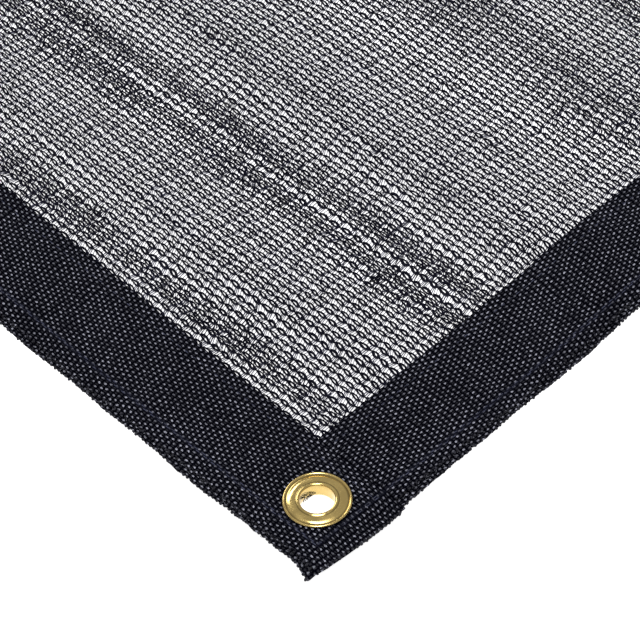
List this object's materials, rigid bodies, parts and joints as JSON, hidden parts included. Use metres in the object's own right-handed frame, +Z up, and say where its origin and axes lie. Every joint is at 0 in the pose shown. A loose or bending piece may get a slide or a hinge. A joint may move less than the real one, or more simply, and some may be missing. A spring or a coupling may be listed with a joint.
{
  "type": "shade cloth",
  "caption": "Square of knitted shade cloth bound with woven edge tapes, with brass eyelets in its corners, lying loosely with its front left corner curled up.",
  "frame": {"origin": "on the floor under the middle of the panel", "axes": "+Z up, +Y along the knit's chains from the front edge to the back, +X across them from left to right"},
  "size_m": [0.4, 0.4, 0.01],
  "materials": {
    "knitted_net": "black knitted plastic yarn, slightly shiny",
    "woven_tape": "black woven plastic tape, satin",
    "brass": "pressed brass, bright with a soft shine"
  },
  "bodies": {
    "root": {"net_panel": "knitted_net", "top_tape_left": "woven_tape", "top_tape_right": "woven_tape", "top_tape_front": "woven_tape", "top_tape_back": "woven_tape", "under_tape_left": "woven_tape", "under_tape_right": "woven_tape", "under_tape_front": "woven_tape", "under_tape_back": "woven_tape", "eyelet_front_left": "brass", "eyelet_front_right": "brass", "eyelet_back_left": "brass", "eyelet_back_right": "brass", "washer_front_left": "brass", "washer_front_right": "brass", "washer_back_left": "brass", "washer_back_right": "brass"}
  },
  "joints": []
}
